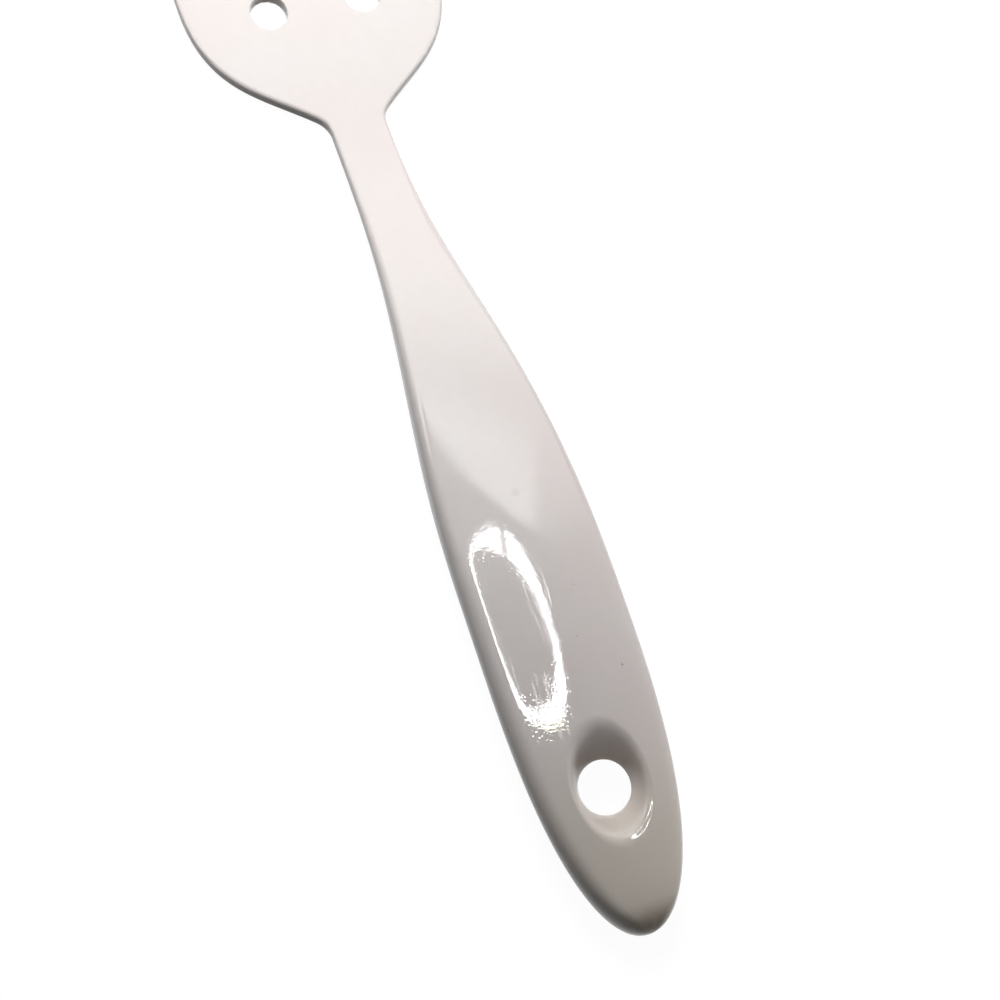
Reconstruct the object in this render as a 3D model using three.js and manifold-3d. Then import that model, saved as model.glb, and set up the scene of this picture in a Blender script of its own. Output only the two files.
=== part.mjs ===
// Slotted turner: a glossy white moulding of head, neck and handle, a curved cover that closes the
// hollow back of the handle, and a bent steel core in the slim neck.
// Millimetres, +Z up. X is the width, the head points to +Y, the underside of the blade lies on z = 0,
// and the origin is below the middle of the overall length.

import * as THREE from 'three';
import { mergeVertices } from 'three/addons/utils/BufferGeometryUtils.js';
import Module from 'manifold-3d';

const { clamp, degToRad, lerp, smootherstep, smoothstep } = THREE.MathUtils;

// Head
const OVERALL_LENGTH = 305;
const HEAD_WIDTH = 70;
const HEAD_LENGTH = 87.6; // front edge back to the corner with the neck
const HEAD_WIDEST_AT = 43.5; // back from the front edge
const BLADE_THICKNESS = 3.5;
const BLADE_EDGE_ROUND = 1.6;
const EDGE_ROUND_LIMIT = 0.6; // most of the half width that an edge may take
const SHOULDER_ANGLE = 48; // degrees between the neck and the start of the shoulder
const SHOULDER_START_PULL = 16.5;
const SHOULDER_END_PULL = 26.3;
const CORNER_FILLET = 3.5; // length of the soft inner corner along neck and shoulder
const FRONT_WIDTH = 62; // between the points of the front corners
const FRONT_CORNER = 13; // length of the rounding along side and front
const FRONT_BOW = 3; // how far the middle of the front edge stands ahead of its corners
const FRONT_EDGE_THICKNESS = 1.4;
const FRONT_BEVEL_LENGTH = 16;

// Drain holes, counted from the neck
const DRAIN_ROWS = [2, 3];
const DRAIN_WIDTH = 10;
const DRAIN_LENGTH = 11;
const DRAIN_RIM = 4.8; // from the outermost holes to the widest part of the head
const DRAIN_ROW_SPACING = 22;
const DRAIN_FIRST_ROW_AT = 35.5; // ahead of the neck corner

// Neck and handle
const NECK_WIDTH = 14.7;
const GRIP_WIDTH = 37;
const GRIP_THICKNESS = 14.8;
const GRIP_WIDEST_AT = 72.5; // from the end of the handle
const GRIP_EDGE_ROUND = 4.5;
const GRIP_CROWN = 1.4; // how far the middle of a face stands above its edges at the widest place
const END_PLAN_POWER = 2.75; // the larger, the blunter the end seen from above
const END_SIDE_POWER = 30; // the larger, the blunter the end seen from the side
const END_THINNING = 0.25; // share of the thickness that is lost towards the end
const BEND_AT = 13; // ahead of the neck corner, where the blade stops being flat
const RISE_LENGTH = 115;
const CREST_HEIGHT = 14.5; // middle of the handle above the table
const CREST_AT = 96.5; // from the end of the handle
const END_DROP = 9.6;

// Hanging hole: round at the middle of the thickness, flared to an oval mouth above and below
const HANG_DIAMETER = 12.5;
const HANG_MOUTH_WIDTH = 18;
const HANG_MOUTH_LENGTH = 25.6;
const HANG_AT = 33.5; // from the end of the handle
const HANG_FLARE_POWER = 1.4; // 1 gives a straight cone, more a wall that steepens towards the middle
const HANG_CUT_REACH = 1.3; // of the half thickness, so that the cut runs out of both faces

// Hollow back of the handle and its cover
const COVER_CLEAR_OF_HOLE = 10.5;
const COVER_CLEAR_OF_CORNER = 61; // behind the neck corner
const COVER_INSET = 6; // from the side of the handle
const COVER_THICKNESS = 1.8;
const COVER_END_POWER = 6; // the larger, the squarer the ends
const COVER_LEDGE = 2.2; // what the rim of the cover rests on
const TOP_WALL = 2.6;
const BOSS_DIAMETER = 7;
const BOSS_FROM_HOLE_END = 20;
const BOSS_FROM_NECK_END = 22;
const PIN_DIAMETER = 3.2;
const PIN_LENGTH = 4;

// Steel core
const CORE_WIDTH = 7;
const CORE_THICKNESS = 1.2;
const CORE_BEHIND_CORNER = 15; // from the neck corner to the tip of the core
const CORE_TAIL = 6; // what stands free in the hollow handle

const CLEARANCE = 0.3; // between fitted pieces
const PAST = 5; // how far a cut runs past the surface

// Facets
const FACE_STEPS = 4;
const EDGE_STEPS = 4;
const NOSE_STEPS = 14;
const ARM_STEPS = 22;
const FILLET_STEPS = 4;
const SHOULDER_STEPS = 8;
const SIDE_STEPS = 4;
const FRONT_CORNER_STEPS = 5;
const BOW_STEPS = 3;
const HANG_STEPS = 12;
const ROUND_STEPS = 32;
const PIN_STEPS = 20;
const COVER_STEPS = 36;
const UNDER_STEPS = 30;
const CORE_STEPS = 20;

const frontY = OVERALL_LENGTH / 2;
const endY = -OVERALL_LENGTH / 2;
const cornerY = frontY - HEAD_LENGTH;
const headWidestY = frontY - HEAD_WIDEST_AT;
const bendY = cornerY + BEND_AT;
const gripY = endY + GRIP_WIDEST_AT;
const crestY = endY + CREST_AT;
const hangY = endY + HANG_AT;
const gripFace = GRIP_WIDTH / 2 - GRIP_EDGE_ROUND;
const coverStartY = hangY + HANG_MOUTH_LENGTH / 2 + COVER_CLEAR_OF_HOLE;
const coverEndY = cornerY - COVER_CLEAR_OF_CORNER;

const wasm = await Module();
wasm.setup();

function solid(geometry) {
  geometry.deleteAttribute('normal');
  geometry.deleteAttribute('uv');
  const merged = mergeVertices(geometry);
  return new wasm.Manifold(new wasm.Mesh({
    numProp: 3,
    vertProperties: new Float32Array(merged.attributes.position.array),
    triVerts: new Uint32Array(merged.index.array),
  }));
}

function piece(name, body, look) {
  const { vertProperties, triVerts } = body.getMesh();
  const geometry = new THREE.BufferGeometry();
  geometry.setAttribute('position', new THREE.BufferAttribute(vertProperties, 3));
  geometry.setIndex(new THREE.BufferAttribute(triVerts, 1));
  geometry.computeVertexNormals();
  const mesh = new THREE.Mesh(geometry, new THREE.MeshStandardMaterial(look));
  mesh.name = name;
  return mesh;
}

// Closed skin over rings with the same number of points. Each end closes in a fan, flat unless it has a tip.
function loft(rings, startTip, endTip) {
  const count = rings[0].length;
  const points = rings.flat();
  const index = [];
  for (let r = 0; r + 1 < rings.length; r++) {
    for (let i = 0; i < count; i++) {
      const a = r * count + i;
      const b = r * count + (i + 1) % count;
      index.push(a, b, b + count, a, b + count, a + count);
    }
  }
  const cap = (ring, first, flip, tip) => {
    points.push(tip ?? ring.reduce((sum, p) => sum.add(p), new THREE.Vector3()).divideScalar(count));
    for (let i = 0; i < count; i++) {
      const pair = [first + i, first + (i + 1) % count];
      index.push(points.length - 1, ...(flip ? pair.reverse() : pair));
    }
  };
  cap(rings[0], 0, true, startTip);
  cap(rings.at(-1), count * (rings.length - 1), false, endTip);
  const geometry = new THREE.BufferGeometry().setFromPoints(points);
  geometry.setIndex(index);
  return geometry;
}

const steps = (count, place) => Array.from({ length: count + 1 }, (_, i) => place(i / count));

// Half width of neck and handle seen from above
function handleHalf(y) {
  if (y < gripY) {
    const toEnd = clamp((gripY - y) / GRIP_WIDEST_AT, 0, 1);
    return GRIP_WIDTH / 2 * Math.sqrt(1 - toEnd ** END_PLAN_POWER);
  }
  return lerp(NECK_WIDTH, GRIP_WIDTH, smootherstep(-y, -cornerY, -gripY)) / 2;
}

// How far the flat blade has become the full handle, 0 to 1
const gripShare = (y) => smootherstep(-y, -bendY, -gripY);

function halfThickness(y) {
  if (y > bendY) {
    const onBevel = smoothstep(y, frontY - FRONT_BEVEL_LENGTH, frontY);
    return lerp(BLADE_THICKNESS, FRONT_EDGE_THICKNESS, onBevel) / 2;
  }
  const toEnd = clamp((gripY - y) / GRIP_WIDEST_AT, 0, 1);
  const full = lerp(BLADE_THICKNESS, GRIP_THICKNESS, gripShare(y)) / 2;
  return full * (1 - END_THINNING * toEnd ** 2) * Math.sqrt(1 - toEnd ** END_SIDE_POWER);
}

// Height of the middle of the section above the table
function midHeight(y) {
  if (y > bendY) return halfThickness(y);
  const rise = smootherstep(-y, -bendY, RISE_LENGTH - bendY);
  const drop = END_DROP * (Math.max(crestY - y, 0) / CREST_AT) ** 2;
  return lerp(BLADE_THICKNESS / 2, CREST_HEIGHT, rise) - drop;
}

// Section across the turner: crowned faces that end in round edges
function section(y, halfWidth) {
  const share = gripShare(y);
  const half = halfThickness(y);
  const edge = Math.min(lerp(BLADE_EDGE_ROUND, GRIP_EDGE_ROUND, share), EDGE_ROUND_LIMIT * halfWidth);
  const crown = GRIP_CROWN * share / gripFace ** 2;
  return { y, halfWidth, half, edge, crown, face: halfWidth - edge, mid: midHeight(y) };
}

function heightAt(s, x) {
  const intoEdge = clamp((Math.abs(x) - s.face) / s.edge, 0, 1);
  return (s.half - s.crown * x ** 2) * Math.sqrt(1 - intoEdge ** 2);
}

function acrossSection(s) {
  const edge = steps(EDGE_STEPS, (t) => s.face + s.edge * Math.sin(t * Math.PI / 2));
  const face = steps(FACE_STEPS, (t) => lerp(-s.face, s.face, t)).slice(1, -1);
  return [...edge.map((x) => -x).reverse(), ...face, ...edge];
}

function sectionRing(s) {
  const xs = acrossSection(s);
  const upper = xs.map((x) => new THREE.Vector3(x, s.y, s.mid + heightAt(s, x)));
  const lower = xs.slice(1, -1).reverse().map((x) => new THREE.Vector3(x, s.y, s.mid - heightAt(s, x)));
  return [...upper, ...lower];
}

// Outline of one half seen from above, from the end of the handle to the front edge
function halfOutline() {
  const neckHalf = NECK_WIDTH / 2;
  const shoulder = new THREE.Vector2(0, 1).rotateAround(new THREE.Vector2(), -degToRad(SHOULDER_ANGLE));
  const corner = new THREE.Vector2(neckHalf, cornerY);
  const along = (distance) => corner.clone().addScaledVector(shoulder, distance);
  const neckEnd = new THREE.Vector2(handleHalf(cornerY - CORNER_FILLET), cornerY - CORNER_FILLET);
  const widest = new THREE.Vector2(HEAD_WIDTH / 2, headWidestY);
  const bow = (x) => new THREE.Vector2(x, frontY - FRONT_BOW * (2 * x / FRONT_WIDTH) ** 2);
  const bowStart = FRONT_WIDTH / 2 - FRONT_CORNER;
  const frontCorner = bow(FRONT_WIDTH / 2);
  const side = new THREE.Vector2(widest.x, (widest.y + frontCorner.y) / 2);
  const sideEnd = frontCorner.clone().lerp(side, FRONT_CORNER / frontCorner.distanceTo(side));

  const nose = steps(NOSE_STEPS, (t) => endY + GRIP_WIDEST_AT * (1 - Math.cos(t * Math.PI / 2)));
  const arm = steps(ARM_STEPS, (t) => lerp(gripY, neckEnd.y, t));
  const curves = [
    [FILLET_STEPS, new THREE.QuadraticBezierCurve(neckEnd, corner, along(CORNER_FILLET))],
    [SHOULDER_STEPS, new THREE.CubicBezierCurve(along(CORNER_FILLET), along(CORNER_FILLET + SHOULDER_START_PULL),
      widest.clone().setY(headWidestY - SHOULDER_END_PULL), widest)],
    [SIDE_STEPS, new THREE.QuadraticBezierCurve(widest, side, sideEnd)],
    [FRONT_CORNER_STEPS, new THREE.QuadraticBezierCurve(sideEnd, frontCorner, bow(bowStart))],
  ];
  return [
    ...nose.slice(1).map((y) => new THREE.Vector2(handleHalf(y), y)),
    ...arm.slice(1).map((y) => new THREE.Vector2(handleHalf(y), y)),
    ...curves.flatMap(([count, curve]) => curve.getPoints(count).slice(1)),
    ...steps(BOW_STEPS, (t) => bow(bowStart * (1 - t))).slice(1, -1),
  ];
}

const handleSection = (y) => section(y, handleHalf(y));

// Everything below a surface that follows the underside or the top of the handle
function below(surface) {
  const rings = steps(UNDER_STEPS, (t) => lerp(coverStartY - PAST, coverEndY + PAST, t)).map((y) => {
    const s = handleSection(y);
    const upper = acrossSection(s).map((x) => new THREE.Vector3(x, y, surface(s, x)));
    const floor = [s.halfWidth, -s.halfWidth].map((x) => new THREE.Vector3(x, y, -PAST));
    return [...upper, ...floor];
  });
  return solid(loft(rings));
}

// Upright prism over the outline of the cover, drawn in by the same amount all round
function coverPrism(inset) {
  const middle = (coverStartY + coverEndY) / 2;
  const reach = (coverEndY - coverStartY) / 2 - inset;
  const side = steps(COVER_STEPS, (t) => {
    const along = -Math.cos(t * Math.PI);
    const y = middle + reach * along;
    const full = handleHalf(y) - COVER_INSET - inset;
    return new THREE.Vector2(full * Math.sqrt(1 - along ** COVER_END_POWER), y);
  });
  const otherSide = side.slice(1, -1).reverse().map((p) => new THREE.Vector2(-p.x, p.y));
  const outline = new THREE.Shape([...side, ...otherSide]);
  const tall = CREST_HEIGHT + GRIP_THICKNESS + 2 * PAST;
  const prism = new THREE.ExtrudeGeometry(outline, { depth: tall, bevelEnabled: false });
  return solid(prism.translate(0, 0, -PAST));
}

const undersideAt = (y) => midHeight(y) - halfThickness(y);

function upright(diameter, y, bottom, top) {
  const post = new THREE.CylinderGeometry(diameter / 2, diameter / 2, top - bottom, PIN_STEPS);
  return solid(post.rotateX(Math.PI / 2).translate(0, y, (top + bottom) / 2));
}

const pinPlaces = [coverStartY + BOSS_FROM_HOLE_END, coverEndY - BOSS_FROM_NECK_END];

// Strip along the middle of neck and handle
function strip(width, thickness, fromY, toY) {
  const rings = steps(CORE_STEPS, (t) => lerp(fromY, toY, t)).map((y) => {
    const z = midHeight(y);
    const corners = [[-1, 1], [1, 1], [1, -1], [-1, -1]];
    return corners.map(([i, k]) => new THREE.Vector3(i * width / 2, y, z + k * thickness / 2));
  });
  return solid(loft(rings));
}

function outerForm() {
  const rings = halfOutline().map((p) => sectionRing(section(p.y, p.x)));
  const [endTip, frontTip] = [endY, frontY].map((y) => new THREE.Vector3(0, y, midHeight(y)));
  return solid(loft(rings, endTip, frontTip));
}

function drainHoles() {
  const oval = new THREE.Shape();
  oval.absellipse(0, 0, DRAIN_WIDTH / 2, DRAIN_LENGTH / 2, 0, 2 * Math.PI);
  const depth = BLADE_THICKNESS + 2 * PAST;
  const pitch = (HEAD_WIDTH - 2 * DRAIN_RIM - DRAIN_WIDTH) / (Math.max(...DRAIN_ROWS) - 1);
  return DRAIN_ROWS.flatMap((count, row) => Array.from({ length: count }, (_, i) => {
    const x = (i - (count - 1) / 2) * pitch;
    const y = cornerY + DRAIN_FIRST_ROW_AT + row * DRAIN_ROW_SPACING;
    const hole = new THREE.ExtrudeGeometry(oval, { depth, bevelEnabled: false, curveSegments: ROUND_STEPS / 2 });
    return solid(hole.translate(x, y, -PAST));
  }));
}

function hangingHole() {
  const rings = steps(HANG_STEPS, (t) => lerp(-HANG_CUT_REACH, HANG_CUT_REACH, t)).map((level) => {
    const flare = Math.abs(level) ** HANG_FLARE_POWER;
    const halfWidth = lerp(HANG_DIAMETER, HANG_MOUTH_WIDTH, flare) / 2;
    const halfLength = lerp(HANG_DIAMETER, HANG_MOUTH_LENGTH, flare) / 2;
    return steps(ROUND_STEPS, (t) => t * 2 * Math.PI).slice(1).map((a) => {
      const y = hangY + halfLength * Math.sin(a);
      return new THREE.Vector3(halfWidth * Math.cos(a), y, midHeight(y) + halfThickness(y) * level);
    });
  });
  return solid(loft(rings));
}

function turnerBody(outer) {
  const recess = coverPrism(0).intersect(
    below((s, x) => s.mid - heightAt(s, x) + COVER_THICKNESS + CLEARANCE));
  let hollow = coverPrism(COVER_LEDGE).intersect(below((s, x) => s.mid + heightAt(s, x) - TOP_WALL));
  for (const y of pinPlaces) {
    hollow = hollow.subtract(upright(BOSS_DIAMETER, y, -PAST, midHeight(y) + GRIP_THICKNESS));
  }
  const pocket = strip(CORE_WIDTH + 2 * CLEARANCE, CORE_THICKNESS + 2 * CLEARANCE,
    coverEndY - COVER_LEDGE - CORE_TAIL, cornerY - CORE_BEHIND_CORNER + CLEARANCE);
  const sockets = pinPlaces.map((y) => upright(PIN_DIAMETER + 2 * CLEARANCE, y, -PAST,
    undersideAt(y) + COVER_THICKNESS + PIN_LENGTH + CLEARANCE));
  const cuts = [hangingHole(), recess, hollow, pocket, ...sockets, ...drainHoles()];
  return cuts.reduce((rest, cut) => rest.subtract(cut), outer);
}

function backCover(outer) {
  const plate = outer.intersect(coverPrism(CLEARANCE)).intersect(
    below((s, x) => s.mid - heightAt(s, x) + COVER_THICKNESS));
  const pins = pinPlaces.map((y) => upright(PIN_DIAMETER, y, undersideAt(y) + COVER_THICKNESS / 2,
    undersideAt(y) + COVER_THICKNESS + PIN_LENGTH));
  return pins.reduce((cover, pin) => cover.add(pin), plate);
}

const neckCore = () => strip(CORE_WIDTH, CORE_THICKNESS,
  coverEndY - COVER_LEDGE - CORE_TAIL, cornerY - CORE_BEHIND_CORNER);

const outer = outerForm();
const turner = new THREE.Group();
turner.add(
  piece('turner_body', turnerBody(outer), { color: 0xf4efed, roughness: 0.16, metalness: 0 }),
  piece('handle_back_cover', backCover(outer), { color: 0xf1ecea, roughness: 0.22, metalness: 0 }),
  piece('neck_core', neckCore(), { color: 0xb9bcbf, roughness: 0.35, metalness: 1 }),
);

export default turner;
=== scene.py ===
"""Looks of the slotted turner: a glossy white moulding with drain holes and a hanging hole, the cover
that closes its hollow back, and the steel core in its neck. Shapes are in millimetres and become metres
as they are made."""

import math
from collections import namedtuple

import bmesh
import bpy
from mathutils import Matrix, Vector


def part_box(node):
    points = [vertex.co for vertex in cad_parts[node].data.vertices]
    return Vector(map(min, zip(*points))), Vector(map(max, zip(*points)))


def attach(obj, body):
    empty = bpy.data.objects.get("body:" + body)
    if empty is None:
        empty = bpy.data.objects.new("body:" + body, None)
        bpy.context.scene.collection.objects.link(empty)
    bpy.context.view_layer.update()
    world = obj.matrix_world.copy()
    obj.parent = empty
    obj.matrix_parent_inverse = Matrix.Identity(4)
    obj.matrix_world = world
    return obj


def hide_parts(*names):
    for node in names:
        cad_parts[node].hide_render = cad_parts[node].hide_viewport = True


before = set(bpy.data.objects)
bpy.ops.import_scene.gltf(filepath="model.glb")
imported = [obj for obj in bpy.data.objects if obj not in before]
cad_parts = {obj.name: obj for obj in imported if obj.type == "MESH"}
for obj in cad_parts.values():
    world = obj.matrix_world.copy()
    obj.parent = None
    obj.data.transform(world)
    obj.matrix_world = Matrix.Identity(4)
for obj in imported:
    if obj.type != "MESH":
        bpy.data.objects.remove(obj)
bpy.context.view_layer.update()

MM = 0.001
WELD = 0.002  # points closer than this are one
WHITE = (1.0, 1.0, 1.0, 1.0)

# Head
body_low, body_high = (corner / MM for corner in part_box("turner_body"))
FRONT_Y = body_high.y
END_Y = body_low.y
HEAD_WIDTH = body_high.x - body_low.x
HEAD_LENGTH = 87.6
HEAD_WIDEST_AT = 43.5
CORNER_Y = FRONT_Y - HEAD_LENGTH  # where the neck meets the shoulders
WIDEST_Y = FRONT_Y - HEAD_WIDEST_AT
BEND_AT = 13
BEND_Y = CORNER_Y + BEND_AT  # behind this the blade stops being flat
BLADE_THICKNESS = 3.5
BLADE_EDGE_ROUND = 1.6
BLADE_EDGE_POWER = 3.2  # 2 is a round edge, more a squarer one, less a sharper one
EDGE_ROUND_LIMIT = 0.6  # of the half width of the handle
SHOULDER_ANGLE = math.radians(48)
SHOULDER_START_PULL = 16.5
SHOULDER_END_PULL = 26.3
CORNER_FILLET = 3.5
FRONT_WIDTH = 62
FRONT_CORNER = 13
FRONT_BOW = 3
FRONT_EDGE_THICKNESS = 1.4
FRONT_BEVEL_LENGTH = 16

# Drain holes, counted from the neck
DRAIN_ROWS = (2, 3)  # holes in each row
DRAIN_WIDTH = 10
DRAIN_LENGTH = 11
DRAIN_RIM = 4.8  # left at each side of the fullest row
DRAIN_PITCH = (HEAD_WIDTH - 2 * DRAIN_RIM - DRAIN_WIDTH) / (max(DRAIN_ROWS) - 1)
DRAIN_ROW_SPACING = 22
DRAIN_FIRST_ROW_AT = 35.5
DRAIN_FIRST_Y = CORNER_Y + DRAIN_FIRST_ROW_AT
DRAIN_RIM_ROUND = 0.4
DRAIN_MARGIN = 2.6  # round a hole, where the grid of points makes room for it

# Neck and handle
NECK_WIDTH = 14.7
GRIP_WIDTH = 37
GRIP_THICKNESS = 14.8
GRIP_WIDEST_AT = 72.5
GRIP_Y = END_Y + GRIP_WIDEST_AT
GRIP_EDGE_ROUND = 3.6
GRIP_EDGE_POWER = 2.3
ARM_EDGE_ROUND = 2.8
ARM_EDGE_POWER = 2.8
ARM_EDGE_GROWTH = 8  # how soon behind the bend the edges are those of the arm
EDGE_SWELL_LENGTH = 45  # ahead of the widest place, where the edges get rounder
GRIP_CROWN = 1.4
GRIP_FACE = 14  # half width of the crowned face, where the crown is stated
END_PLAN_POWER = 2.75
END_SIDE_POWER = 30
END_THINNING = 0.25
RISE_LENGTH = 115
RISE_END_Y = BEND_Y - RISE_LENGTH
CREST_HEIGHT = 14.5
CREST_AT = 96.5
CREST_Y = END_Y + CREST_AT
END_DROP = 9.6

# Hanging hole
HANG_AT = 33.5
HANG_Y = END_Y + HANG_AT
HANG_DIAMETER = 12.5
HANG_MOUTH_WIDTH = 18
HANG_MOUTH_LENGTH = 25.6
HANG_FLARE_POWER = 1.4
HANG_REACH = 1.25  # of the half thickness, out to where the face is undisturbed
HANG_RIM = 1.7  # how softly the flare runs into the face
HANG_MARGIN = 2

# Hollow back and its cover
COVER_CLEAR_OF_HOLE = 10.5
COVER_CLEAR_OF_CORNER = 61
COVER_START_Y = HANG_Y + HANG_MOUTH_LENGTH / 2 + COVER_CLEAR_OF_HOLE
COVER_END_Y = CORNER_Y - COVER_CLEAR_OF_CORNER
COVER_INSET = 6
COVER_THICKNESS = 1.8
COVER_END_POWER = 6
COVER_LEDGE = 2.2
COVER_EDGE_ROUND = 0.35
RECESS_CHAMFER = 0.25
TOP_WALL = 2.6
BOSS_DIAMETER = 7
PIN_DIAMETER = 3.2
PIN_LENGTH = 4
PIN_FROM_HOLE_END = 20
PIN_FROM_NECK_END = 22
PIN_PLACES = (COVER_START_Y + PIN_FROM_HOLE_END, COVER_END_Y - PIN_FROM_NECK_END)
CORE_WIDTH = 7
CORE_THICKNESS = 1.2
CORE_TAIL = 6
CORE_START_Y = COVER_END_Y - COVER_LEDGE - CORE_TAIL
CORE_BEHIND_CORNER = 15
CORE_END_Y = CORNER_Y - CORE_BEHIND_CORNER
CLEARANCE = 0.3
PAST = 5  # how far a tool reaches past what it cuts

# Fineness of the meshes
NOSE_ROWS = 60
ARM_ROWS = 110
FILLET_ROWS = 14
SHOULDER_ROWS = 40
SIDE_ROWS = 26
FRONT_CORNER_ROWS = 18
BOW_ROWS = 14
EDGE_STEPS = 12
FACE_STEPS = 20
PATCH_RINGS = 3
HANG_RINGS = 40
RIM_RINGS = 6
COVER_ROWS = 90
COVER_COLUMNS = 20
CORE_ROWS = 30
POST_SIDES = 40
SHARP_ANGLE = math.radians(35)  # edges that turn by more stay sharp

# Plastic, in metres, with colours from 0 to 255
BODY_TONE = (238, 232, 229)
BODY_ROUGHNESS = 0.03
COVER_TONE = (236, 231, 227)
COVER_ROUGHNESS = 0.16
ROUGHNESS_SCALE = 60
ROUGHNESS_SPREAD = (-0.015, 0.02)
PLASTIC_SHINE = 0.3
NOISE_SPAN = (0.3, 0.7)  # most of a noise lies between these
PEEL_SCALE = 1400
PEEL_HEIGHT = 0.000004
PIT_SCALE = 1400
PIT_RADIUS = 0.6  # of the distance between pits
PIT_DEPTH = 0.000008  # of the deepest
SWELL_SCALE = 160
SWELL_HEIGHT = 0.00002
SCRATCH_SCALE = (1600.0, 70.0)  # across and along the turner
SCRATCH_SPAN = (0.58, 0.68)
SCRATCH_PATCH_SCALE = 90
SCRATCH_PATCH_SPAN = (0.42, 0.58)
SCRATCH_ROUGHNESS = 0.22
SCRATCH_DEPTH = 0.000005
WORN_START = -0.045
WORN_END = -0.125
WORN_FADE = 0.02
CLOUD_SCALE = 26
CLOUD_SPAN = (0.35, 0.65)
CLOUD_TINT = (0, -4, -4)  # added to the tone
FLECK_SCALE = 380
FLECK_STRENGTH = 0.25
FLECK_TINT = (-6, -6, -6)
YELLOWED_FROM = -0.095
YELLOWED_TO = -0.146
YELLOWED_TINT = (0, -4, -13)
GRIME_FROM = -0.1455
GRIME_TO = -0.1525
GRIME_SCALE = 300
GRIME_SPAN = (0.2, 0.6)
GRIME_LEAST = 0.5
GRIME_COLOUR = (168, 150, 120)
MARK_COLOUR = (96, 88, 78)
MARK_NOISE_SCALE = 2500
MARK_NOISE_SPAN = (0.2, 0.8)
MARK_RAGGEDNESS = 0.4  # of the radius
MARK_CORE = 0.3  # of the radius, within which a mark is at its full strength
MARKS = (  # place and radius in millimetres, and strength
    ((0.7, -49.4, 21.6), 1.5, 0.10),
    ((11.2, -94.9, 19.4), 0.45, 0.55),
    ((3.0, -86.0, 20.9), 0.3, 0.3),
    ((6.3, -74.2, 21.3), 0.35, 0.2),
    ((-7.2, -142.6, 12.8), 0.45, 0.6),
    ((-3.3, -151.1, 7.4), 0.6, 0.6),
)

# Steel of the core, in metres, with colours from 0 to 255
STEEL_TONE = (186, 188, 190)
STEEL_ROUGHNESS = (0.28, 0.45)
GRAIN_SCALE = (2500.0, 60.0)  # across and along the turner
GRAIN_DEPTH = 0.00002
STAIN_TONE = (160, 157, 152)
STAIN_SCALE = 180
STAIN_SPAN = (0.45, 0.7)

# Stage, in metres
FLOOR_SIZE = 6.0
FLOOR_GAP = 0.0003
FLOOR_GREY = 0.12
FLOOR_MOTTLE = 0.1  # of its grey
FLOOR_MOTTLE_SCALE = 9
FLOOR_GLOW = 0.96

# Camera, in metres apart from the lens and the sensor
LENS = 72
SENSOR = 36
CLIP_START = 0.01
CAMERA_AIM = Vector((-0.0002, -0.0466, 0.010))
CAMERA_DISTANCE = 0.4735
CAMERA_BEARING = math.radians(40.84)  # round from behind the handle towards its left side
CAMERA_RISE = math.radians(67.09)
CAMERA_ROLL = math.radians(23.43)

# Lamps, in metres
KEY_AT = Vector((-0.022, 0.290, 0.359))
KEY_AIM = Vector((0.0, 0.233, 0.0))
KEY_SIZE = (1.2, 0.543)
KEY_EDGE = (-0.190, -0.30, 0.012)  # near edge: height at the middle line, slope to the right, softness
KEY_RIGHT_EDGE = (-0.33, 0.25, 0.09)
KEY_LEFT_EDGE = (-0.23, -1.4, 0.13)
KEY_LEFT_EDGE_TOP = (-0.10, -0.05)  # heights between which the left edge ends
KEY_GLOW_EDGE = (-0.342, 0.60, 0.04)
KEY_GLOW = 1.5  # how much brighter it is near the corner between these edges
KEY_GLOW_WIDTH = 0.20
KEY_RADIANCE = 3.1
SOFT_LAMP_AIM_Z = 0.01
SOFT_LAMPS = (  # name, place, where along the turner it points, size, radiance
    ("top_lamp", Vector((0.0, 0.16, 0.36)), 0.09, (0.2, 0.2), 6.7),
    ("far_top_lamp", Vector((0.0, 0.28, 0.36)), 0.09, (0.2, 0.2), 5.0),
    ("far_lamp", Vector((0.0, 0.42, 0.10)), 0.09, (0.2, 0.2), 2.7),
    ("right_lamp", Vector((0.36, -0.12, 0.05)), -0.12, (0.06, 0.3), 8.2),
    ("left_lamp", Vector((-0.36, 0.30, 0.08)), 0.09, (0.1, 0.3), 2.2),
    ("end_lamp", Vector((0.10, -0.42, 0.04)), -0.13, (0.3, 0.06), 1.6),
)
RING_AT = Vector((-0.0150, -0.0206, 0.4498))
RING_AIM = Vector((0.1458, -0.0770, 0.0878))
RING_EGG = (-0.002, 0.142, 0.104, 0.22, 0.12)  # middle, half length, half height, rightward swell, lean
RING_HOLE_EGG = (0.006, 0.0995, 0.077, -0.16, -0.06)
RING_POWER = 2.3  # 2 is an oval, more a squarer one
RING_GAP_AT = -0.014  # where the slanting gap in its upper half would cross its middle line
RING_GAP_SLANT = 0.7
RING_GAP_WIDTH = 0.014  # from its middle to where the ring is bright again
RING_GAP_CORE = RING_GAP_WIDTH / 3  # from its middle, as far as it is darkest
RING_GAP_DEPTH = 0.85
RING_SOFTNESS = 0.08
RING_HOLE_SOFTNESS = 0.16
RING_RADIANCE = 42.0
RING_WARM_FROM = -0.090
RING_WARM_TO = -0.115
RING_WARM_COLOUR = (1.0, 0.97, 0.5, 1.0)

Place = namedtuple("Place", "at inward")
Row = namedtuple("Row", "y half upper lower")
SIDEWAYS = Vector((-1, 0))


def clamp(t):
    return min(max(t, 0.0), 1.0)


def lerp(a, b, t):
    return a + (b - a) * t


def smoothstep(x, low, high):
    t = clamp((x - low) / (high - low))
    return t * t * (3 - 2 * t)


def smootherstep(x, low, high):
    t = clamp((x - low) / (high - low))
    return t ** 3 * (t * (t * 6 - 15) + 10)


def soft_min(a, b, blend):
    """The smaller of two heights, rounded where they cross."""
    return min(a, b) - max(blend - abs(a - b), 0) ** 2 / (4 * blend)


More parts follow.
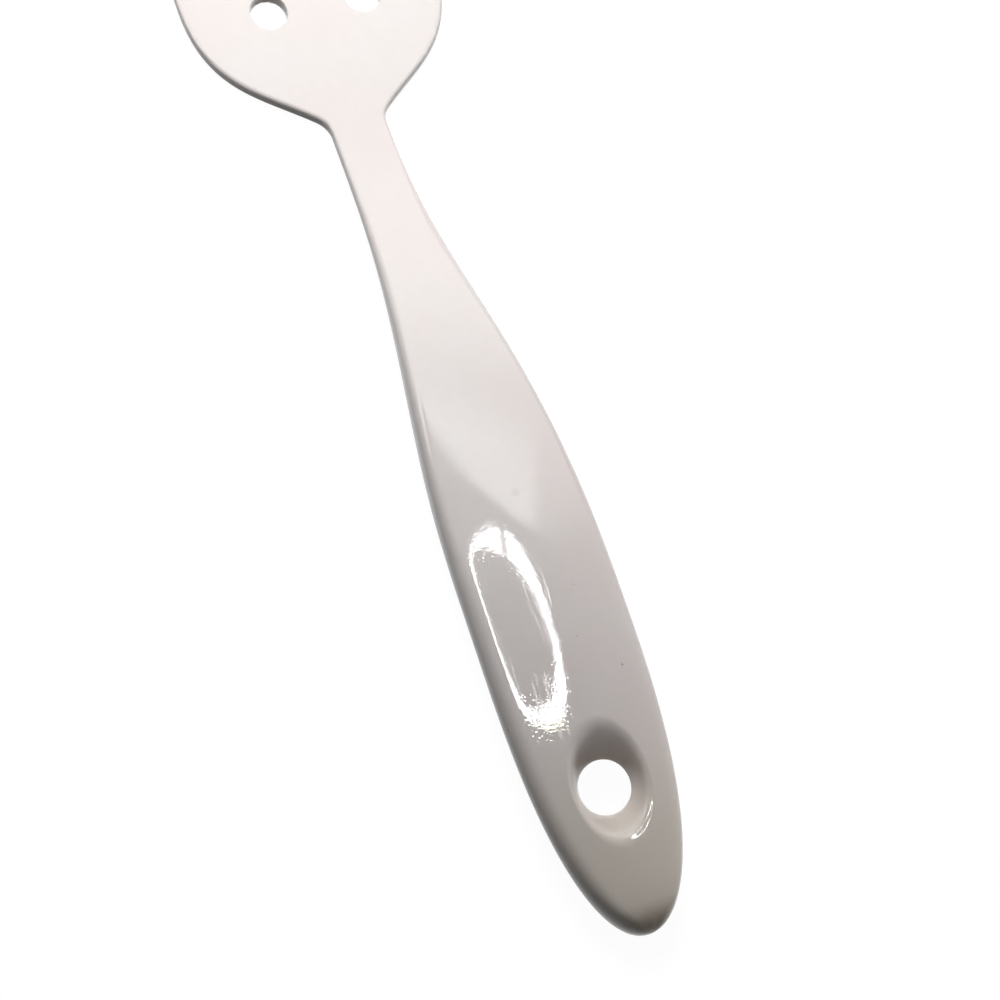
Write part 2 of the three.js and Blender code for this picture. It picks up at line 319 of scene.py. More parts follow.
def quarter_turn(steps):
    """Angles from 0 to a right angle."""
    return [math.pi / 2 * i / steps for i in range(steps + 1)]


def handle_half(y):
    """Half width of neck and handle seen from above."""
    if y < GRIP_Y:
        to_end = clamp((GRIP_Y - y) / GRIP_WIDEST_AT)
        return GRIP_WIDTH / 2 * math.sqrt(1 - to_end ** END_PLAN_POWER)
    return lerp(NECK_WIDTH, GRIP_WIDTH, smootherstep(-y, -CORNER_Y, -GRIP_Y)) / 2


def grip_share(y):
    """How far the flat blade has become the full handle, 0 to 1."""
    return smootherstep(-y, -BEND_Y, -GRIP_Y)


def half_thickness(y):
    if y > BEND_Y:
        bevel = smoothstep(y, FRONT_Y - FRONT_BEVEL_LENGTH, FRONT_Y)
        return lerp(BLADE_THICKNESS, FRONT_EDGE_THICKNESS, bevel) / 2
    to_end = clamp((GRIP_Y - y) / GRIP_WIDEST_AT)
    full = lerp(BLADE_THICKNESS, GRIP_THICKNESS, grip_share(y)) / 2
    return full * (1 - END_THINNING * to_end ** 2) * math.sqrt(1 - to_end ** END_SIDE_POWER)


def mid_height(y):
    if y > BEND_Y:
        return half_thickness(y)
    rise = smootherstep(-y, -BEND_Y, -RISE_END_Y)
    drop = END_DROP * (max(CREST_Y - y, 0) / CREST_AT) ** 2
    return lerp(BLADE_THICKNESS / 2, CREST_HEIGHT, rise) - drop


def face_height(x, y):
    """Height of the crowned faces above and below the middle of the section."""
    return half_thickness(y) - GRIP_CROWN * grip_share(y) * (x / GRIP_FACE) ** 2


def top_at(x, y):
    return mid_height(y) + face_height(x, y)


def underside_at(x, y):
    return mid_height(y) - face_height(x, y)


def bezier(points, t):
    while len(points) > 1:
        points = [a.lerp(b, t) for a, b in zip(points, points[1:])]
    return points[0]


def curve_places(points, count):
    """Places along a Bezier curve without its last point, each with the way into the turner."""
    step = 0.5 / count
    places = []
    for i in range(count):
        t = i / count
        along = (bezier(points, t + step) - bezier(points, max(t - step, 0))).normalized()
        places.append(Place(bezier(points, t), Vector((-along.y, along.x))))
    return places


def front_place(x):
    """Place on the bowed front edge."""
    bow = FRONT_BOW * (2 / FRONT_WIDTH) ** 2
    slope = 2 * bow * x
    return Place(Vector((x, FRONT_Y - bow * x * x)), Vector((-slope, -1)).normalized())


def outline():
    """Right half of the outline seen from above, from the handle's end to the middle of the front edge."""
    shoulder = Vector((math.sin(SHOULDER_ANGLE), math.cos(SHOULDER_ANGLE)))
    corner = Vector((NECK_WIDTH / 2, CORNER_Y))
    neck_end = Vector((handle_half(CORNER_Y - CORNER_FILLET), CORNER_Y - CORNER_FILLET))
    fillet_end = corner + shoulder * CORNER_FILLET
    after_fillet = fillet_end + shoulder * SHOULDER_START_PULL
    widest = Vector((HEAD_WIDTH / 2, WIDEST_Y))
    before_widest = widest - Vector((0, SHOULDER_END_PULL))
    front_corner = front_place(FRONT_WIDTH / 2).at
    side = Vector((widest.x, (widest.y + front_corner.y) / 2))
    side_end = front_corner.lerp(side, FRONT_CORNER / (side - front_corner).length)
    bow_start = FRONT_WIDTH / 2 - FRONT_CORNER

    nose = [END_Y + GRIP_WIDEST_AT * (1 - math.cos(turn)) for turn in quarter_turn(NOSE_ROWS)[:-1]]
    arm = [lerp(GRIP_Y, neck_end.y, i / ARM_ROWS) for i in range(ARM_ROWS)]
    places = [Place(Vector((handle_half(y), y)), SIDEWAYS) for y in nose + arm]
    places += curve_places([neck_end, corner, fillet_end], FILLET_ROWS)
    places += curve_places([fillet_end, after_fillet, before_widest, widest], SHOULDER_ROWS)
    places += curve_places([widest, side, side_end], SIDE_ROWS)
    places += curve_places([side_end, front_corner, front_place(bow_start).at], FRONT_CORNER_ROWS)
    places += [front_place(bow_start * (1 - i / BOW_ROWS)) for i in range(BOW_ROWS + 1)]
    return places


class Skin:
    """Points and faces of one piece."""

    def __init__(self):
        self.points = []
        self.faces = []

    def point(self, x, y, z):
        self.points.append(Vector((x, y, z)))
        return len(self.points) - 1

    def strip(self, first, second, closed=False):
        """Quads between two lines with as many points."""
        count = len(first)
        for i in range(count if closed else count - 1):
            j = (i + 1) % count
            self.faces.append((first[i], first[j], second[j], second[i]))

    def piece(self, name):
        """The closed mesh, with points that coincide joined and its faces pointing out."""
        mesh = bpy.data.meshes.new(name)
        mesh.from_pydata([p * MM for p in self.points], [], self.faces)
        shape = bmesh.new()
        shape.from_mesh(mesh)
        bmesh.ops.remove_doubles(shape, verts=shape.verts, dist=WELD * MM)
        bmesh.ops.recalc_face_normals(shape, faces=shape.faces)
        shape.to_mesh(mesh)
        shape.free()
        made = bpy.data.objects.new(name, mesh)
        bpy.context.scene.collection.objects.link(made)
        return made


def combine(target, tool, operation):
    """Cuts a tool out of a piece, or joins it on, and removes the tool."""
    change = target.modifiers.new("combine", "BOOLEAN")
    change.operation = operation
    change.solver = "EXACT"
    change.object = tool
    changed = target.evaluated_get(bpy.context.evaluated_depsgraph_get())
    mesh = bpy.data.meshes.new_from_object(changed)
    target.modifiers.clear()
    target.data = mesh
    bpy.data.objects.remove(tool)


def smooth(piece):
    piece.data.shade_smooth()
    piece.data.set_sharp_from_angle(angle=SHARP_ANGLE)


def body_row(skin, place):
    """Points across the turner at one place of its outline, from left to right."""
    arm = clamp(ARM_EDGE_GROWTH * grip_share(place.at.y))
    swell = smoothstep(-place.at.y, -GRIP_Y - EDGE_SWELL_LENGTH, -GRIP_Y)
    edge = lerp(lerp(BLADE_EDGE_ROUND, ARM_EDGE_ROUND, arm), GRIP_EDGE_ROUND, swell)
    edge = min(edge, EDGE_ROUND_LIMIT * place.at.x) if place.inward == SIDEWAYS else edge
    bend = 2 / lerp(lerp(BLADE_EDGE_POWER, ARM_EDGE_POWER, arm), GRIP_EDGE_POWER, swell)
    right = []
    for turn in quarter_turn(EDGE_STEPS):
        spot = place.at + place.inward * edge * (1 - max(math.cos(turn), 0) ** bend)
        right.append((spot.x, spot.y, math.sin(turn) ** bend))
    face_x, face_y, _ = right[-1]
    face = [(lerp(-face_x, face_x, i / FACE_STEPS), face_y, 1) for i in range(1, FACE_STEPS)]
    across = [(-x, y, rise) for x, y, rise in right] + face + right[::-1]
    upper = [skin.point(x, y, mid_height(y) + rise * face_height(x, y)) for x, y, rise in across]
    lower = [skin.point(x, y, mid_height(y) - rise * face_height(x, y)) for x, y, rise in across]
    return Row(face_y, face_x, upper, lower)


def nearest(values, wanted):
    return min(range(len(values)), key=lambda i: abs(values[i] - wanted))


def hole_block(rows, centre, reach):
    """Rows and columns of the grid that a hole's patch takes the place of."""
    row_ys = [row.y for row in rows]
    first, last = (nearest(row_ys, centre.y + sign * reach.y) for sign in (-1, 1))
    half = rows[nearest(row_ys, centre.y)].half
    columns = [lerp(-half, half, i / FACE_STEPS) for i in range(FACE_STEPS + 1)]
    left, right = (EDGE_STEPS + nearest(columns, centre.x + sign * reach.x) for sign in (-1, 1))
    return first, last, left, right


def block_loop(lines, block):
    """Points round a block of the grid."""
    first, last, left, right = block
    near = lines[first][left:right]
    right_side = [line[right] for line in lines[first:last]]
    far = lines[last][right:left:-1]
    left_side = [line[left] for line in lines[last:first:-1]]
    return near + right_side + far + left_side


def patch(skin, loop, centre, reach, wall, sign):
    """Fills the space between a block of the grid and a hole, and makes the hole's wall to its throat."""
    starts = [skin.points[i] for i in loop]
    bearings = [math.atan2((p.y - centre.y) / reach.y, (p.x - centre.x) / reach.x) for p in starts]
    walls = [wall(bearing, sign) for bearing in bearings]
    rings = [loop]
    for i in range(1, PATCH_RINGS + 1):
        ring = []
        for start, points in zip(starts, walls):
            x, y = (lerp(start[k], points[0][k], i / (PATCH_RINGS + 1)) for k in (0, 1))
            ring.append(skin.point(x, y, mid_height(y) + sign * face_height(x, y)))
        rings.append(ring)
    rings += [[skin.point(*p) for p in ring] for ring in zip(*walls)]
    for outer, inner in zip(rings, rings[1:]):
        skin.strip(outer, inner, closed=True)


def hanging_wall(bearing, sign):
    """Flared wall of the hanging hole in one direction, from the face to the throat."""
    points = []
    for i in range(HANG_RINGS + 1):
        level = HANG_REACH * (1 - i / HANG_RINGS)
        flare = level ** HANG_FLARE_POWER
        x = lerp(HANG_DIAMETER, HANG_MOUTH_WIDTH, flare) / 2 * math.cos(bearing)
        y = HANG_Y + lerp(HANG_DIAMETER, HANG_MOUTH_LENGTH, flare) / 2 * math.sin(bearing)
        height = soft_min(half_thickness(y) * level, face_height(x, y), HANG_RIM) if level else 0
        points.append((x, y, mid_height(y) + sign * height))
    return points


def drain_wall(centre):
    """Upright wall of a drain hole as a function of the direction. Half of its round rim is outside."""

    def wall(bearing, sign):
        points = []
        for turn in quarter_turn(RIM_RINGS):
            out = DRAIN_RIM_ROUND * (0.5 - math.sin(turn))
            x = centre.x + (DRAIN_WIDTH / 2 + out) * math.cos(bearing)
            y = centre.y + (DRAIN_LENGTH / 2 + out) * math.sin(bearing)
            down = DRAIN_RIM_ROUND * (1 - math.cos(turn))
            points.append((x, y, mid_height(y) + sign * (half_thickness(y) - down)))
        x, y, _ = points[-1]
        points.append((x, y, mid_height(y)))
        return points

    return wall


def hole_plans():
    """Centre, reach and wall of each hole."""
    flare = HANG_REACH ** HANG_FLARE_POWER
    mouth_reach = Vector((lerp(HANG_DIAMETER, HANG_MOUTH_WIDTH, flare) / 2 + HANG_MARGIN,
                          lerp(HANG_DIAMETER, HANG_MOUTH_LENGTH, flare) / 2 + HANG_MARGIN))
    plans = [(Vector((0, HANG_Y)), mouth_reach, hanging_wall)]
    drain_reach = Vector((DRAIN_WIDTH / 2 + DRAIN_MARGIN, DRAIN_LENGTH / 2 + DRAIN_MARGIN))
    for row, count in enumerate(DRAIN_ROWS):
        for i in range(count):
            x = (i - (count - 1) / 2) * DRAIN_PITCH
            centre = Vector((x, DRAIN_FIRST_Y + row * DRAIN_ROW_SPACING))
            plans.append((centre, drain_reach, drain_wall(centre)))
    return plans


def outer_form():
    """The whole moulding with its holes, before the back of the handle is hollowed."""
    skin = Skin()
    rows = [body_row(skin, place) for place in outline()]
    plans = hole_plans()
    blocks = [hole_block(rows, centre, reach) for centre, reach, _ in plans]
    for sign, lines in ((1, [row.upper for row in rows]), (-1, [row.lower for row in rows])):
        for r, (line, following) in enumerate(zip(lines, lines[1:])):
            for c in range(len(line) - 1):
                if not any(b[0] <= r < b[1] and b[2] <= c < b[3] for b in blocks):
                    skin.strip(line[c:c + 2], following[c:c + 2])
        for block, (centre, reach, wall) in zip(blocks, plans):
            patch(skin, block_loop(lines, block), centre, reach, wall, sign)
    return skin.piece("turner_moulding")


def cover_outline(inset):
    """Right half of the cover's outline, drawn in by the same amount all round."""
    middle = (COVER_START_Y + COVER_END_Y) / 2
    reach = (COVER_END_Y - COVER_START_Y) / 2 - inset
    points = []
    for i in range(COVER_ROWS + 1):
        along = -math.cos(math.pi * i / COVER_ROWS)
        y = middle + reach * along
        full = handle_half(y) - COVER_INSET - inset
        points.append((full * math.sqrt(1 - along ** COVER_END_POWER), y))
    return points


def slab(name, levels):
    """Closed piece over the cover's outline. Each level has its inset and height, from top to bottom."""
    skin = Skin()
    loops = []
    for inset, height in levels:
        rows = []
        for half, y in cover_outline(inset):
            xs = [lerp(-half, half, i / COVER_COLUMNS) for i in range(COVER_COLUMNS + 1)]
            rows.append([skin.point(x, y, height(x, y)) for x in xs])
        loops.append([row[-1] for row in rows] + [row[0] for row in rows[::-1]])
        if len(loops) in (1, len(levels)):
            for row, following in zip(rows, rows[1:]):
                skin.strip(row, following)
    for loop, following in zip(loops, loops[1:]):
        skin.strip(loop, following, closed=True)
    return skin.piece(name)


def bar(name, width, thickness, start, end):
    """Strip that follows the middle of neck and handle."""
    skin = Skin()
    corners = ((-1, 1), (1, 1), (1, -1), (-1, -1))
    rings = []
    for i in range(CORE_ROWS + 1):
        y = lerp(start, end, i / CORE_ROWS)
        middle = mid_height(y)
        rings.append([skin.point(a * width / 2, y, middle + b * thickness / 2) for a, b in corners])
    for ring, following in zip(rings, rings[1:]):
        skin.strip(ring, following, closed=True)
    skin.faces += [tuple(rings[0]), tuple(rings[-1])]
    return skin.piece(name)


def post(name, diameter, y, bottom, top):
    """Upright round post."""
    skin = Skin()
    radius = diameter / 2
    bearings = [2 * math.pi * i / POST_SIDES for i in range(POST_SIDES)]
    spots = [(radius * math.cos(bearing), y + radius * math.sin(bearing)) for bearing in bearings]
    foot, head = ([skin.point(*spot, z) for spot in spots] for z in (bottom, top))
    skin.strip(foot, head, closed=True)
    skin.faces += [tuple(foot), tuple(head)]
    return skin.piece(name)


def above_underside(distance):
    return lambda x, y: underside_at(x, y) + distance


def moulding():
    """Head, neck and handle in one, hollow at the back of the handle."""
    body = outer_form()
    depth = COVER_THICKNESS + CLEARANCE
    recess = slab("recess", [
        (0, above_underside(depth)),
        (0, above_underside(RECESS_CHAMFER)),
        (-RECESS_CHAMFER, above_underside(0)),
        (-RECESS_CHAMFER, above_underside(-PAST)),
    ])
    hollow = slab("hollow", [
        (COVER_LEDGE, lambda x, y: top_at(x, y) - TOP_WALL),
        (COVER_LEDGE, above_underside(depth / 2)),
    ])
    for y in PIN_PLACES:
        combine(hollow, post("boss", BOSS_DIAMETER, y, -PAST, top_at(0, y)), "DIFFERENCE")
    pocket = bar("pocket", CORE_WIDTH + 2 * CLEARANCE, CORE_THICKNESS + 2 * CLEARANCE,
                 CORE_START_Y, CORE_END_Y + CLEARANCE)
    sockets = [post("socket", PIN_DIAMETER + 2 * CLEARANCE, y, underside_at(0, y) + depth / 2,
                    underside_at(0, y) + COVER_THICKNESS + PIN_LENGTH + CLEARANCE) for y in PIN_PLACES]
    for tool in (recess, hollow, pocket, *sockets):
        combine(body, tool, "DIFFERENCE")
    smooth(body)
    return body


def back_cover():
    """Curved plate that closes the handle, with two pins on its inner side."""
    levels = [(CLEARANCE, above_underside(COVER_THICKNESS))]
    for turn in quarter_turn(RIM_RINGS):
        inset = CLEARANCE + COVER_EDGE_ROUND * (1 - math.cos(turn))
        levels.append((inset, above_underside(COVER_EDGE_ROUND * (1 - math.sin(turn)))))
    cover = slab("back_cover", levels)
    for y in PIN_PLACES:
        foot = underside_at(0, y) + COVER_THICKNESS
        pin = post("pin", PIN_DIAMETER, y, foot - COVER_THICKNESS / 2, foot + PIN_LENGTH)
        combine(cover, pin, "UNION")
    smooth(cover)
    return cover


class Nodes:
    """A node tree, built in few words. Each socket is set to a value or linked to another socket."""

    def __init__(self, tree):
        self.tree = tree

    def add(self, kind, inputs=None, **settings):
        node = self.tree.nodes.new("ShaderNode" + kind)
        for key, value in settings.items():
            setattr(node, key, value)
        for key, value in (inputs or {}).items():
            self.set(node.inputs[key], value)
        return node

    def set(self, socket, value):
        if isinstance(value, bpy.types.NodeSocket):
            self.tree.links.new(value, socket)
        else:
            socket.default_value = value

    def math(self, operation, a, b=0.0):
        return self.add("Math", {0: a, 1: b}, operation=operation).outputs[0]

    def vector(self, operation, a, b):
        node = self.add("VectorMath", {0: a, 1: b}, operation=operation)
        return node.outputs["Value" if operation == "DISTANCE" else "Vector"]

    def noise(self, vector, scale, detail=2.0):
        return self.add("TexNoise", {"Vector": vector, "Scale": scale, "Detail": detail}).outputs["Fac"]

    def ramp(self, value, low, high, start=0.0, end=1.0):
        """Smooth change from start to end while the value goes from low to high."""
        inputs = {"Value": value, "From Min": low, "From Max": high, "To Min": start, "To Max": end}
        return self.add("MapRange", inputs, interpolation_type="SMOOTHSTEP").outputs["Result"]

    def mix(self, factor, a, b):
        node = self.add("Mix", data_type="RGBA")
        sockets = {socket.identifier: socket for socket in node.inputs}
        for name, value in (("Factor_Float", factor), ("A_Color", a), ("B_Color", b)):
            self.set(sockets[name], value)
        return next(socket for socket in node.outputs if socket.identifier == "Result_Color")


def new_material(name):
    material = bpy.data.materials.new(name)
    material.use_nodes = True
    material.node_tree.nodes.clear()
    return material, Nodes(material.node_tree)


def srgb(red, green, blue):
    """Colour as it is seen, 0 to 255, made linear."""
    seen = [v / 255 for v in (red, green, blue)]
    return (*(v / 12.92 if v <= 0.04045 else ((v + 0.055) / 1.055) ** 2.4 for v in seen), 1.0)


def worn_grip(n, place):
    """1 on the stretch of the handle that hands have worn, and 0 elsewhere."""
    y = n.add("SeparateXYZ", {0: place}).outputs["Y"]
    past_end = n.ramp(y, WORN_END - WORN_FADE, WORN_END)
    past_neck = n.ramp(y, WORN_START, WORN_START - WORN_FADE)
    return n.math("MULTIPLY", past_end, past_neck)


def streaks(n, place, scale, detail):
    """Noise that is drawn out along the turner."""
    across, along = scale
    return n.noise(n.vector("MULTIPLY", place, (across, along, across)), 1.0, detail)


def scratches(n, place):
    """Hair scratches along the handle, 0 to 1, in patches."""
    lines = n.ramp(streaks(n, place, SCRATCH_SCALE, detail=2), *SCRATCH_SPAN)
    patches = n.ramp(n.noise(place, SCRATCH_PATCH_SCALE), *SCRATCH_PATCH_SPAN)
    return n.math("MULTIPLY", lines, patches)


def pits(n, place):
    """Depth of small round pits, each with a depth of its own."""
    cells = n.add("TexVoronoi", {"Vector": place, "Scale": PIT_SCALE}).outputs
    depth = n.ramp(cells["Distance"], 0.0, PIT_RADIUS, PIT_DEPTH, 0.0)
    return n.math("MULTIPLY", depth, n.ramp(cells["Color"], 0.0, 1.0))


def tinted(tone, tint):
    return srgb(*(level + change for level, change in zip(tone, tint)))


def mark_share(n, place, middle, radius, strength):
    """How much a ragged mark covers, from its strength in the middle to 0 at its rim."""
    shift = MARK_RAGGEDNESS * radius
    ragged = n.ramp(n.noise(place, MARK_NOISE_SCALE), *MARK_NOISE_SPAN, -shift, shift)
    distance = n.math("ADD", n.vector("DISTANCE", place, middle), ragged)
    return n.ramp(distance, radius, MARK_CORE * radius, 0.0, strength)


def plastic_colour(n, place, tone):
    """White with warm clouds and grey flecks, a yellowed and grimy end of the handle and a few marks."""
    clouds = n.ramp(n.noise(place, CLOUD_SCALE, detail=3), *CLOUD_SPAN)
    colour = n.mix(clouds, srgb(*tone), tinted(tone, CLOUD_TINT))
    flecks = n.ramp(n.noise(place, FLECK_SCALE), *NOISE_SPAN, 0.0, FLECK_STRENGTH)
    colour = n.mix(flecks, colour, tinted(tone, FLECK_TINT))
    y = n.add("SeparateXYZ", {0: place}).outputs["Y"]
    colour = n.mix(n.ramp(y, YELLOWED_FROM, YELLOWED_TO), colour, tinted(tone, YELLOWED_TINT))
    patches = n.ramp(n.noise(place, GRIME_SCALE, detail=3), *GRIME_SPAN, GRIME_LEAST)
    grime = n.math("MULTIPLY", n.ramp(y, GRIME_FROM, GRIME_TO), patches)
    colour = n.mix(grime, colour, srgb(*GRIME_COLOUR))
    for middle, radius, strength in MARKS:
        share = mark_share(n, place, tuple(v * MM for v in middle), radius * MM, strength)
        colour = n.mix(share, colour, srgb(*MARK_COLOUR))
    return colour


def white_plastic(name, tone, roughness_level):
    """Glossy moulding with orange peel and a slight swell, scratched and pitted where hands wore it."""
    material, n = new_material(name)
    place = n.add("TexCoord").outputs["Object"]
    worn = worn_grip(n, place)
    scratched = n.math("MULTIPLY", scratches(n, place), worn)
    spread = [roughness_level + change for change in ROUGHNESS_SPREAD]
    unworn = n.ramp(n.noise(place, ROUGHNESS_SCALE, detail=3), *NOISE_SPAN, *spread)
    roughness = n.math("ADD", unworn, n.math("MULTIPLY", scratched, SCRATCH_ROUGHNESS))
    peel = n.math("MULTIPLY", n.noise(place, PEEL_SCALE, detail=1), PEEL_HEIGHT)
    swell = n.math("MULTIPLY", n.noise(place, SWELL_SCALE, detail=1), SWELL_HEIGHT)
    height = n.math("ADD", peel, swell)
    height = n.math("SUBTRACT", height, n.math("MULTIPLY", scratched, SCRATCH_DEPTH))
    height = n.math("SUBTRACT", height, n.math("MULTIPLY", pits(n, place), worn))
    bump = n.add("Bump", {"Distance": 1.0, "Height": height})
    shader = n.add("BsdfPrincipled", {
        "Base Color": plastic_colour(n, place, tone),
        "Roughness": roughness,
        "Specular IOR Level": PLASTIC_SHINE,
        "Normal": bump.outputs["Normal"],
    })
    n.add("OutputMaterial", {"Surface": shader.outputs["BSDF"]})
    return material


def core_steel():
    """Bare strip steel with a brushed grain along its length and slight staining."""
    material, n = new_material("core_steel")
    place = n.add("TexCoord").outputs["Object"]
    grain = streaks(n, place, GRAIN_SCALE, detail=3)
    stain = n.ramp(n.noise(place, STAIN_SCALE, detail=3), *STAIN_SPAN)
    bump = n.add("Bump", {"Distance": GRAIN_DEPTH, "Height": grain})
    shader = n.add("BsdfPrincipled", {
        "Base Color": n.mix(stain, srgb(*STEEL_TONE), srgb(*STAIN_TONE)),
        "Metallic": 1.0,
        "Roughness": n.ramp(grain, *NOISE_SPAN, *STEEL_ROUGHNESS),
        "Normal": bump.outputs["Normal"],
    })
    n.add("OutputMaterial", {"Surface": shader.outputs["BSDF"]})
    return material


def seen_white(n):
    """1 for what the camera sees directly, mirrored or through glass."""
    path = n.add("LightPath").outputs
    seen = n.math("MAXIMUM", path["Is Camera Ray"], path["Is Glossy Ray"])
    return n.math("MAXIMUM", seen, path["Is Transmission Ray"])


def floor_paint():
    """White to the eye with the turner's faint shadow, dark grey to the light that it throws back."""
    material, n = new_material("floor_paint")
    place = n.add("TexCoord").outputs["Object"]
    greys = [FLOOR_GREY * (1 - FLOOR_MOTTLE), FLOOR_GREY * (1 + FLOOR_MOTTLE)]
    grey = n.ramp(n.noise(place, FLOOR_MOTTLE_SCALE, detail=3), *NOISE_SPAN, *greys)
    matt = n.add("BsdfDiffuse", {"Color": grey})
    glow = n.add("Emission", {"Strength": n.math("MULTIPLY", seen_white(n), FLOOR_GLOW)})
    both = n.add("AddShader", {0: matt.outputs["BSDF"], 1: glow.outputs["Emission"]})
    n.add("OutputMaterial", {"Surface": both.outputs["Shader"]})
    return material


def floor():
    mesh = bpy.data.meshes.new("floor")
    half = FLOOR_SIZE / 2
    corners = [(-half, -half), (half, -half), (half, half), (-half, half)]
    mesh.from_pydata([(x, y, -FLOOR_GAP) for x, y in corners], [], [(0, 1, 2, 3)])
    made = bpy.data.objects.new("floor", mesh)
    bpy.context.scene.collection.objects.link(made)
    made.data.materials.append(floor_paint())


def sky():
    """White where it is seen, and no light otherwise."""
    world = bpy.data.worlds.new("sky")
    bpy.context.scene.world = world
    world.use_nodes = True
    n = Nodes(world.node_tree)
    background = world.node_tree.nodes["Background"]
    n.set(background.inputs["Color"], WHITE)
    n.set(background.inputs["Strength"], seen_white(n))


def lamp(name, at, aim, size, radiance):
    """Area lamp whose height lies as nearly along the turner as its aim lets it."""
    data = bpy.data.lights.new(name, "AREA")
    data.shape = "RECTANGLE"
    data.size, data.size_y = size
    data.energy = radiance * math.pi * size[0] * size[1]
    back = (at - aim).normalized()
    across = Vector((0, 1, 0)).cross(back).normalized()
    turn = Matrix((across, back.cross(across), back)).transposed()
    made = bpy.data.objects.new(name, data)
    made.matrix_world = Matrix.Translation(at) @ turn.to_4x4()
    made.visible_camera = False
    bpy.context.scene.collection.objects.link(made)
    return made


def lamp_face(made):
    """Nodes of a lamp, and the place on its face in metres from its middle."""
    data = made.data
    data.use_nodes = True
    n = Nodes(data.node_tree)
    spot = n.vector("SUBTRACT", n.add("NewGeometry").outputs["Parametric"], (0.5, 0.5, 0.0))
    sides = n.add("SeparateXYZ", {0: n.vector("MULTIPLY", spot, (data.size, data.size_y, 0.0))}).outputs
    return n, sides["X"], sides["Y"]


def light_up(made, n, socket, value):
    """Links the strength or the colour of a lamp."""
    n.set(made.data.node_tree.nodes["Emission"].inputs[socket], value)


def key_lamp():
    """Large panel beyond the head with a slanting edge and fading ends, which only shows as a sheen."""
    made = lamp("key_lamp", KEY_AT, KEY_AIM, KEY_SIZE, KEY_RADIANCE)
    made.visible_diffuse = False
    n, x, y = lamp_face(made)
    near, right, left, glowing = (
        n.math("SUBTRACT", n.math("SUBTRACT", y, n.math("MULTIPLY", x, slope)), edge)
        for edge, slope, _ in (KEY_EDGE, KEY_RIGHT_EDGE, KEY_LEFT_EDGE, KEY_GLOW_EDGE))
    lit = n.math("MULTIPLY", n.ramp(near, 0.0, KEY_EDGE[2]), n.ramp(right, 0.0, KEY_RIGHT_EDGE[2]))
    lit_left = n.math("MAXIMUM", n.ramp(left, 0.0, KEY_LEFT_EDGE[2]), n.ramp(y, *KEY_LEFT_EDGE_TOP))
    glow = n.math("MULTIPLY", n.ramp(near, KEY_GLOW_WIDTH, 0.0), n.ramp(glowing, 0.0, KEY_GLOW_EDGE[2]))
    level = n.ramp(glow, 0.0, 1.0, 1.0, 1.0 + KEY_GLOW)
    light_up(made, n, "Strength", n.math("MULTIPLY", n.math("MULTIPLY", lit, lit_left), level))


def soft_lamp(name, at, aim, size, radiance):
    """Lamp that gives no highlight."""
    made = lamp(name, at, aim, size, radiance)
    made.visible_glossy = False


def egg(n, x, y, middle, length, height, swell, lean):
    """1 on an egg-shaped outline, less inside it and more outside."""
    upright = n.math("SUBTRACT", x, n.math("MULTIPLY", y, lean))
    along = n.math("DIVIDE", n.math("SUBTRACT", upright, middle), length)
    local_height = n.math("MULTIPLY", n.math("ADD", n.math("MULTIPLY", along, swell), 1.0), height)
    across = n.math("DIVIDE", y, local_height)
    powers = [n.math("POWER", n.math("ABSOLUTE", part), RING_POWER) for part in (along, across)]
    return n.math("ADD", *powers)


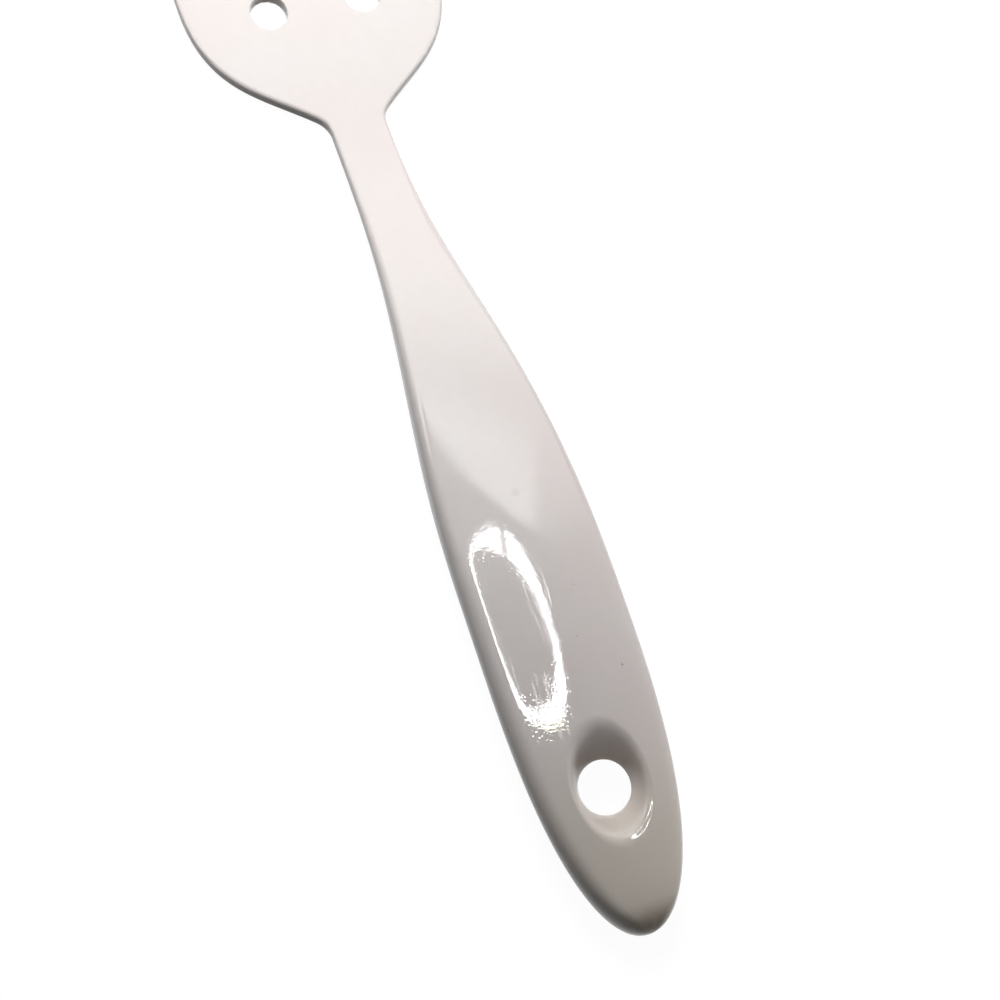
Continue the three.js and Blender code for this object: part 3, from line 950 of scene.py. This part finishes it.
def ring_lamp():
    """Egg-shaped ring lamp with a gap, which only shows as a highlight."""
    middle, length, height, swell, lean = RING_EGG
    half_width = abs(middle) + length + abs(lean) * height
    size = (2 * half_width, 2 * height * (1 + abs(swell)))
    made = lamp("ring_lamp", RING_AT, RING_AIM, size, RING_RADIANCE)
    made.visible_diffuse = False
    n, x, y = lamp_face(made)
    within = n.ramp(egg(n, x, y, *RING_EGG), 1.0, 1.0 - RING_SOFTNESS)
    outside = n.ramp(egg(n, x, y, *RING_HOLE_EGG), 1.0, 1.0 + RING_HOLE_SOFTNESS)
    aside = n.math("SUBTRACT", n.math("SUBTRACT", x, n.math("MULTIPLY", y, RING_GAP_SLANT)), RING_GAP_AT)
    slit = n.ramp(n.math("ABSOLUTE", aside), RING_GAP_WIDTH, RING_GAP_CORE)
    gap = n.math("MULTIPLY", slit, n.math("GREATER_THAN", y, 0.0))
    unbroken = n.ramp(gap, 0.0, 1.0, 1.0, 1.0 - RING_GAP_DEPTH)
    light_up(made, n, "Strength", n.math("MULTIPLY", n.math("MULTIPLY", within, outside), unbroken))
    light_up(made, n, "Color", n.mix(n.ramp(y, RING_WARM_FROM, RING_WARM_TO), WHITE, RING_WARM_COLOUR))


def camera():
    data = bpy.data.cameras.new("camera")
    data.lens = LENS
    data.sensor_width = SENSOR
    data.clip_start = CLIP_START
    made = bpy.data.objects.new("camera", data)
    back = Vector((-math.sin(CAMERA_BEARING) * math.cos(CAMERA_RISE),
                   -math.cos(CAMERA_BEARING) * math.cos(CAMERA_RISE), math.sin(CAMERA_RISE)))
    turn = (-back).to_track_quat("-Z", "Y").to_matrix() @ Matrix.Rotation(CAMERA_ROLL, 3, "Z")
    made.matrix_world = Matrix.Translation(CAMERA_AIM + back * CAMERA_DISTANCE) @ turn.to_4x4()
    bpy.context.scene.collection.objects.link(made)
    bpy.context.scene.camera = made


def dress(piece, node, material):
    piece.data.materials.clear()
    piece.data.materials.append(material)
    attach(piece, "root")
    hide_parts(node)


bpy.context.scene.view_settings.view_transform = "Standard"
camera()
floor()
sky()
key_lamp()
for name, at, aim_y, size, radiance in SOFT_LAMPS:
    soft_lamp(name, at, Vector((0, aim_y, SOFT_LAMP_AIM_Z)), size, radiance)
ring_lamp()

body_finish = white_plastic("white_plastic", BODY_TONE, BODY_ROUGHNESS)
cover_finish = white_plastic("cover_plastic", COVER_TONE, COVER_ROUGHNESS)
dress(moulding(), "turner_body", body_finish)
dress(back_cover(), "handle_back_cover", cover_finish)
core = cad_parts["neck_core"]
core.data.materials.clear()
core.data.materials.append(core_steel())
